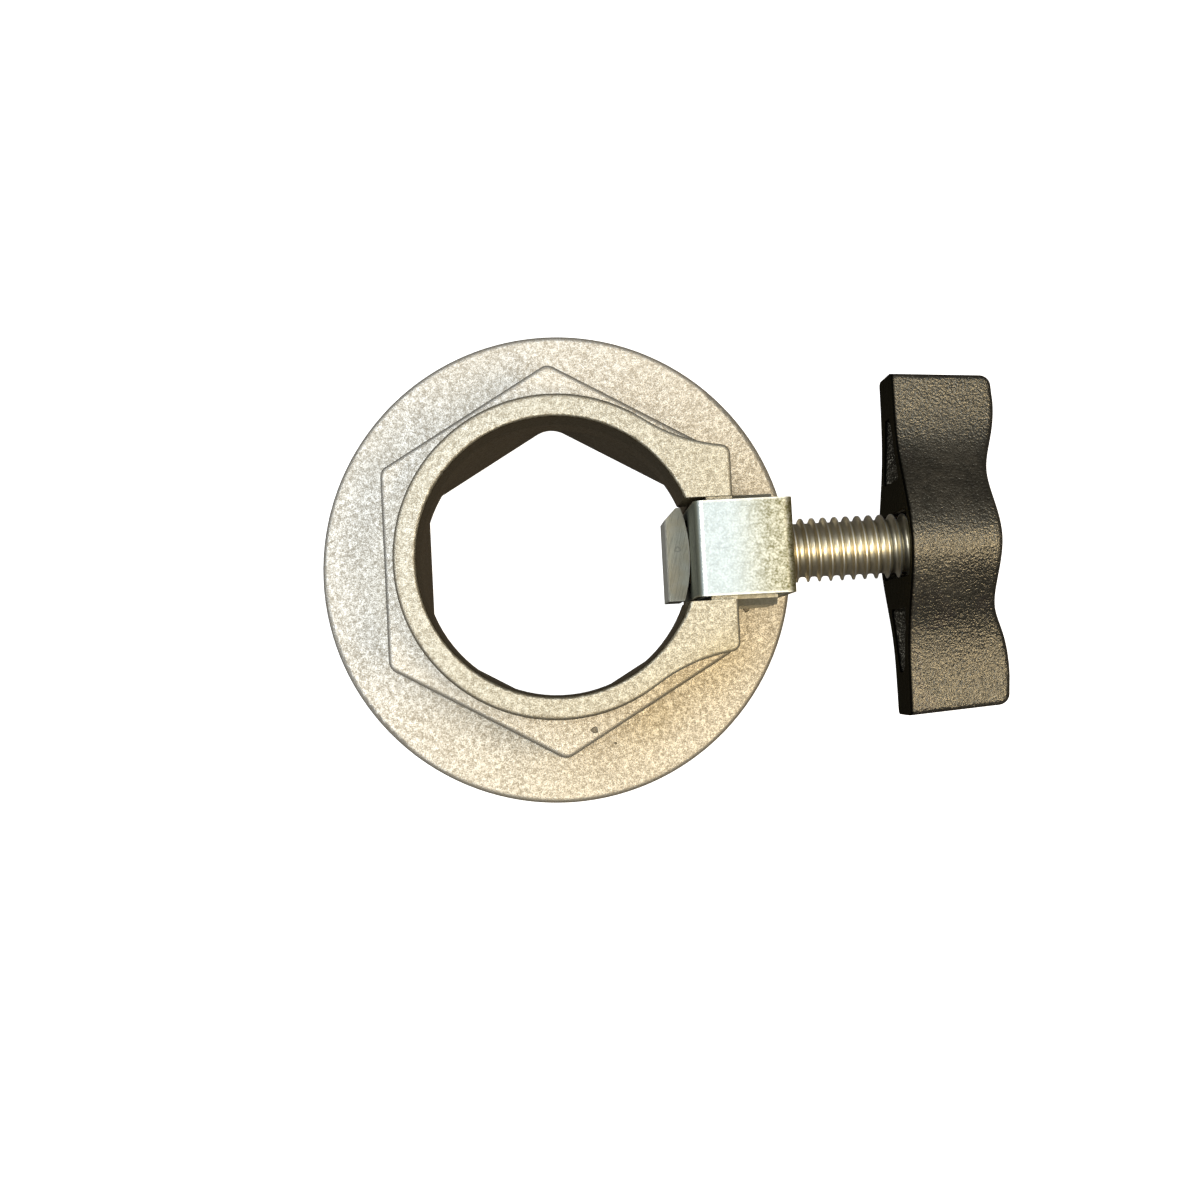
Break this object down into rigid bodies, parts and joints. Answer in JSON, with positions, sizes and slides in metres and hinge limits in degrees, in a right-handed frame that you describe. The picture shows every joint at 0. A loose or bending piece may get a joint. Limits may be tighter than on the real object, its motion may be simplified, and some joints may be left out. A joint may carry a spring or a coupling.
{
  "type": "flanged clamp collar",
  "caption": "Flanged collar with a six-sided passage and a round bore, and a knob-turned screw that presses a shoe onto a tube in the bore.",
  "frame": {"origin": "centre of the flange's flat back", "axes": "+Z along the bore axis from the flange's back to the ring, +X along the clamp screw to the knob, +Y completes a right-handed set"},
  "size_m": [0.0847, 0.0608, 0.027],
  "materials": {
    "cast_metal": "blasted casting",
    "plated_steel": "zinc plated",
    "nut_steel": "dull plated",
    "shoe_steel": "sheared plate",
    "screw_steel": "bright rolled",
    "knob_plastic": "spark textured"
  },
  "bodies": {
    "collar_body": {"collar": "cast_metal", "strap": "plated_steel", "square_nut": "nut_steel"},
    "shoe_body": {"clamp_shoe": "shoe_steel"},
    "screw_body": {"clamp_screw": "screw_steel", "wing_knob": "knob_plastic"}
  },
  "joints": [
    {"name": "shoe_slide", "type": "slide", "parent": "collar_body", "child": "shoe_body", "axis": [-1, 0, 0], "range_m": [0, 0.006]},
    {"name": "screw_turn", "type": "hinge", "parent": "shoe_body", "child": "screw_body", "pos_m": [0.0161, 0, 0.014], "axis": [-1, 0, 0], "range_deg": [0, 1531]}
  ],
  "couplings": [
    {"joint": "screw_turn", "follows": "shoe_slide", "rad_per_m": 4452.8}
  ]
}
